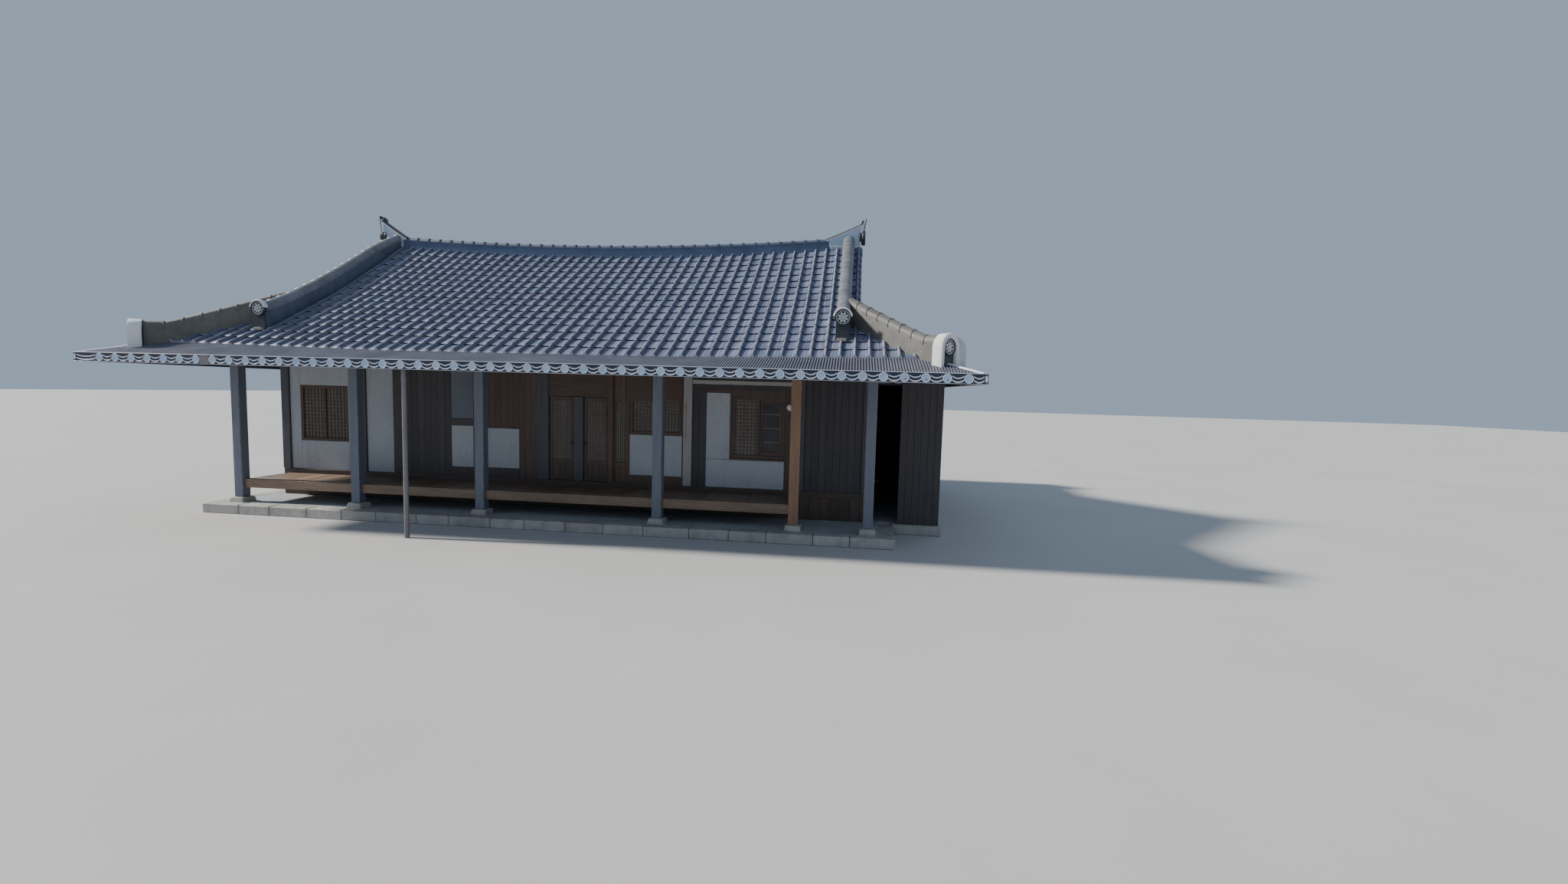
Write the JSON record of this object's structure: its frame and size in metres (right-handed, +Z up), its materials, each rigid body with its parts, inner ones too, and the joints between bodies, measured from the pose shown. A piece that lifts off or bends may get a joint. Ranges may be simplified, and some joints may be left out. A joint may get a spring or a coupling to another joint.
{
  "type": "hanok house",
  "caption": "Single-storey Korean timber house with a half-hip tile roof, front veranda, lattice doors, upturned ridge ends and patterned eave gutters.",
  "frame": {"origin": "on the ground, under the middle of the roof", "axes": "+X to the right along the ridge, +Y to the back, -Y is the veranda side, +Z up"},
  "size_m": [12.848, 8.538, 5.53],
  "materials": {
    "stone": "rough grey stone and mortar",
    "plaster": "matt lime plaster, slightly uneven",
    "wood": "dark oiled timber, worn",
    "post": "timber with worn grey-blue paint",
    "tile": "fired clay tile, dark grey, half matt",
    "ridge": "stacked clay tile and mortar",
    "white": "white mortar",
    "gutter": "pressed sheet, dark blue paint"
  },
  "bodies": {
    "house": {"plinth": "stone", "room_floor": "wood", "veranda_floor": "wood", "front_post_1": "post", "front_post_2": "post", "front_post_3": "post", "front_post_4": "post", "front_post_5": "post", "front_post_6": "post", "eave_beam": "wood", "front_base_wall": "wood", "front_wall_left": "plaster", "window_left": "wood", "front_wall_boards": "wood", "door_post": "wood", "door_head": "wood", "front_wall_middle": "plaster", "window_middle": "wood", "front_wall_right": "plaster", "window_right": "wood", "front_upper_wall": "wood", "back_wall": "plaster", "back_window_1": "wood", "back_window_2": "wood", "left_wall": "plaster", "right_wall": "plaster", "store_front": "wood", "store_side": "wood", "store_back": "wood", "front_rafters": "wood", "back_rafters": "wood", "left_rafters": "wood", "right_rafters": "wood", "front_roof": "tile", "back_roof": "tile", "left_skirt": "tile", "right_skirt": "tile", "left_gable": "wood", "right_gable": "wood", "main_ridge": "ridge", "left_ridge_end": "white", "right_ridge_end": "white", "front_left_ridges": "ridge", "front_right_ridges": "ridge", "back_left_ridges": "ridge", "back_right_ridges": "ridge", "front_gutter": "gutter", "back_gutter": "gutter", "left_gutter": "gutter", "right_gutter": "gutter", "downpipe": "post"},
    "left_door": {"left_door": "wood"},
    "right_door": {"right_door": "wood"}
  },
  "joints": [
    {"name": "left_door_hinge", "type": "hinge", "parent": "house", "child": "left_door", "pos_m": [-0.209, -2.305, 1.3], "axis": [0, 0, -1], "range_deg": [0, 110]},
    {"name": "right_door_hinge", "type": "hinge", "parent": "house", "child": "right_door", "pos_m": [0.792, -2.305, 1.3], "axis": [0, 0, 1], "range_deg": [0, 110]}
  ]
}
